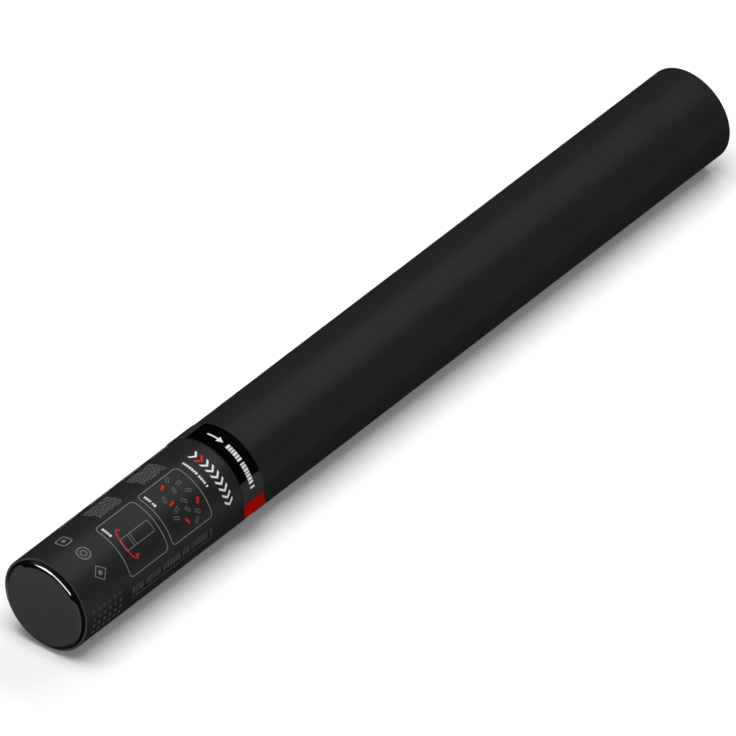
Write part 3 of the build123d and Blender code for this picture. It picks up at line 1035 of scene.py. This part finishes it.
def make_spring():
    low, high = span_of("guard_spring")
    coil = radius_of("guard_spring") - SPRING_WIRE / 2
    steps = SPRING_TURNS * TURN_STEPS
    height = high - low - SPRING_WIRE
    rise = height / (2 * math.pi * SPRING_TURNS)
    bm = bmesh.new()
    rows = []
    for k in range(steps + 1):
        x = low + SPRING_WIRE / 2 + height * k / steps
        points = wire_ring(x, coil, SPRING_START + 360.0 * k / TURN_STEPS, rise)
        rows.append([bm.verts.new(point) for point in points])
    for before, after in zip(rows, rows[1:]):
        join_rows(bm, before, after)
    close_ends(bm, rows)
    coil_piece = piece(mesh_object("guard_coil", bm), "barrel", "steel", finish_of("steel"), "guard_spring")
    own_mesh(coil_piece)


# The burst disc: scored into petals, which fold into the neck when the needle comes through; here they are
# built flat.

PETALS = 6
PETAL_REACH = 2.6 * MM
PETAL_STEPS = 6
SCORE = 0.03 * MM


def make_petal(name, span, middle):
    """One petal of the disc about the angle middle, with a hairline score round it."""
    half = 180.0 / PETALS - math.degrees(SCORE / PETAL_REACH)
    bm = bmesh.new()
    rows = []
    for x in span:
        points = [tube_point(x, SCORE, middle)]
        for k in range(PETAL_STEPS + 1):
            points.append(tube_point(x, PETAL_REACH, middle - half + 2 * half * k / PETAL_STEPS))
        rows.append([bm.verts.new(point) for point in points])
    join_rows(bm, *rows)
    close_ends(bm, rows)
    return mesh_object(name, bm)


def make_burst_disc():
    low, high = span_of("burst_disc")
    radius = radius_of("burst_disc")
    hole = PETAL_REACH + SCORE
    finish = finish_of("aluminium")
    rim = lathe("disc_rim", [(low, hole), (low, radius), (high, radius), (high, hole)])
    piece(rim, "carriage", "aluminium", finish, "burst_disc")
    for k in range(PETALS):
        middle = 360.0 * k / PETALS
        made = make_petal(f"disc_petal_{k + 1}", (low, high), middle)
        petal = piece(made, "carriage", "aluminium", finish)
        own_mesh(petal)


# Nodes that keep their CAD shape and take a finish.
NODE_FINISH = {
    "mechanism": ("firing_housing", "cam_sleeve", "cylinder_carrier", "thrust_washer"),
    "rubber": ("housing_o_ring", "neck_seal", "carrier_pad"),
    "steel": ("piercing_needle", "needle_washer", "needle_nut", "retaining_ring", "follower_pins"),
    "aluminium": ("gas_cylinder", "crimp_ring"),
    "wad": ("pusher_wad",),
    "card": ("wad_card", "top_card"),
    "dark_board": ("grip_tube",),
}


def finish_nodes():
    for finish, nodes in NODE_FINISH.items():
        for node in nodes:
            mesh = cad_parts[node].data
            mesh.materials.clear()
            mesh.materials.append(MATERIALS[finish])


# Floor, light and camera.

FLOOR_SIDE = 14.0
FLOOR_LIFT = 0.15
FLOOR_SHADE = (0.97, 0.97, 0.97, 1.0)
FILL = 0.06
FILL_COLOUR = (1.0, 1.0, 1.0, 1.0)
ACROSS = (0.0, 1.0, 0.0)
LAMPS = (
    {"name": "key", "place": (-0.61, -0.05, 4.0), "size": (2.07, 3.6), "watts": 132.0},
    {"name": "sheen", "place": (2.46, -0.07, 3.13), "size": (0.40, 4.08), "watts": 40.0},
    {"name": "rim_far", "place": (-2.80, 2.16, 1.89), "size": (0.46, 3.10), "watts": 140.0,
     "along": (0.498, 0.856, -0.136), "only_gloss": True},
    {"name": "rim_near", "place": (-3.71, -0.40, 1.47), "size": (0.42, 2.75), "watts": 80.0,
     "along": (0.111, 0.884, 0.453), "only_gloss": True},
)


def shown_rays(tree):
    """1 for rays from the camera and for those seen in gloss or through glass."""
    path = add_node(tree, "ShaderNodeLightPath").outputs
    seen = math_node(tree, "MAXIMUM", path["Is Camera Ray"], path["Is Glossy Ray"])
    return math_node(tree, "MAXIMUM", seen, path["Is Transmission Ray"])


def make_floor():
    bm = bmesh.new()
    corners = [(x * FLOOR_SIDE, y * FLOOR_SIDE, 0.0) for x, y in SQUARE]
    bm.faces.new([bm.verts.new(corner) for corner in corners])
    floor = mesh_object("floor", bm)
    material = bpy.data.materials.new("floor_white")
    material.use_nodes = True
    tree = material.node_tree
    tree.nodes.clear()
    matt = add_node(tree, "ShaderNodeBsdfDiffuse")
    matt.inputs["Color"].default_value = FLOOR_SHADE
    lift = add_node(tree, "ShaderNodeEmission")
    both = add_node(tree, "ShaderNodeAddShader")
    result = add_node(tree, "ShaderNodeOutputMaterial")
    share = math_node(tree, "MULTIPLY", shown_rays(tree), FLOOR_LIFT)
    tree.links.new(share, lift.inputs["Strength"])
    tree.links.new(matt.outputs[0], both.inputs[0])
    tree.links.new(lift.outputs[0], both.inputs[1])
    tree.links.new(both.outputs[0], result.inputs["Surface"])
    floor.data.materials.append(material)


def make_world():
    world = bpy.data.worlds.new("studio")
    bpy.context.scene.world = world
    world.use_nodes = True
    tree = world.node_tree
    tree.nodes.clear()
    light = add_node(tree, "ShaderNodeBackground")
    light.inputs["Color"].default_value = FILL_COLOUR
    light.inputs["Strength"].default_value = FILL
    result = add_node(tree, "ShaderNodeOutputWorld")
    tree.links.new(light.outputs[0], result.inputs["Surface"])


def make_lamp(name, place, size, watts, along=ACROSS, only_gloss=False):
    """A softbox that faces the tube's middle; its second side lies in the direction of along.
    One with only_gloss is seen in gloss and lights nothing else."""
    data = bpy.data.lights.new(name, "AREA")
    data.shape = "RECTANGLE"
    data.size, data.size_y = size
    data.energy = watts
    lamp = bpy.data.objects.new(name, data)
    lamp.visible_diffuse = not only_gloss
    back = (Vector(place) - Vector((0.0, 0.0, AXIS_Z))).normalized()
    along = Vector(along)
    along = (along - back * along.dot(back)).normalized()
    lamp.location = place
    lamp.rotation_mode = "QUATERNION"
    lamp.rotation_quaternion = Matrix((along.cross(back), along, back)).transposed().to_quaternion()
    bpy.context.scene.collection.objects.link(lamp)


CAMERA_AZIMUTH = -51.35
CAMERA_ELEVATION = 37.66
CAMERA_LENS = 1500.0
CAMERA_SENSOR = 36.0
CAMERA_CLIP = 100.0
CAMERA_DISTANCE = 14.8054
CAMERA_RIGHT, CAMERA_UP = -0.000673, -0.005019


def make_camera():
    azimuth, elevation = math.radians(CAMERA_AZIMUTH), math.radians(CAMERA_ELEVATION)
    level = math.cos(elevation)
    back = Vector((math.sin(azimuth) * level, -math.cos(azimuth) * level, math.sin(elevation)))
    right = Vector((math.cos(azimuth), math.sin(azimuth), 0.0))
    target = Vector((0.0, 0.0, AXIS_Z)) + CAMERA_RIGHT * right + CAMERA_UP * back.cross(right)
    data = bpy.data.cameras.new("camera")
    data.lens = CAMERA_LENS
    data.sensor_width = CAMERA_SENSOR
    data.clip_end = CAMERA_CLIP
    camera = bpy.data.objects.new("camera", data)
    camera.location = target + back * CAMERA_DISTANCE
    camera.rotation_mode = "QUATERNION"
    camera.rotation_quaternion = (-back).to_track_quat("-Z", "Y")
    bpy.context.scene.collection.objects.link(camera)
    bpy.context.scene.camera = camera


make_barrel()
make_label()
make_cap()
make_lid()
make_seal()
make_frame_print()
make_title_print()
make_small_print()
make_marks_print()
make_seal_print()
make_charge()
make_spring()
make_burst_disc()
finish_nodes()
make_floor()
make_world()
for lamp_row in LAMPS:
    make_lamp(**lamp_row)
make_camera()
bpy.context.scene.view_settings.view_transform = "Standard"
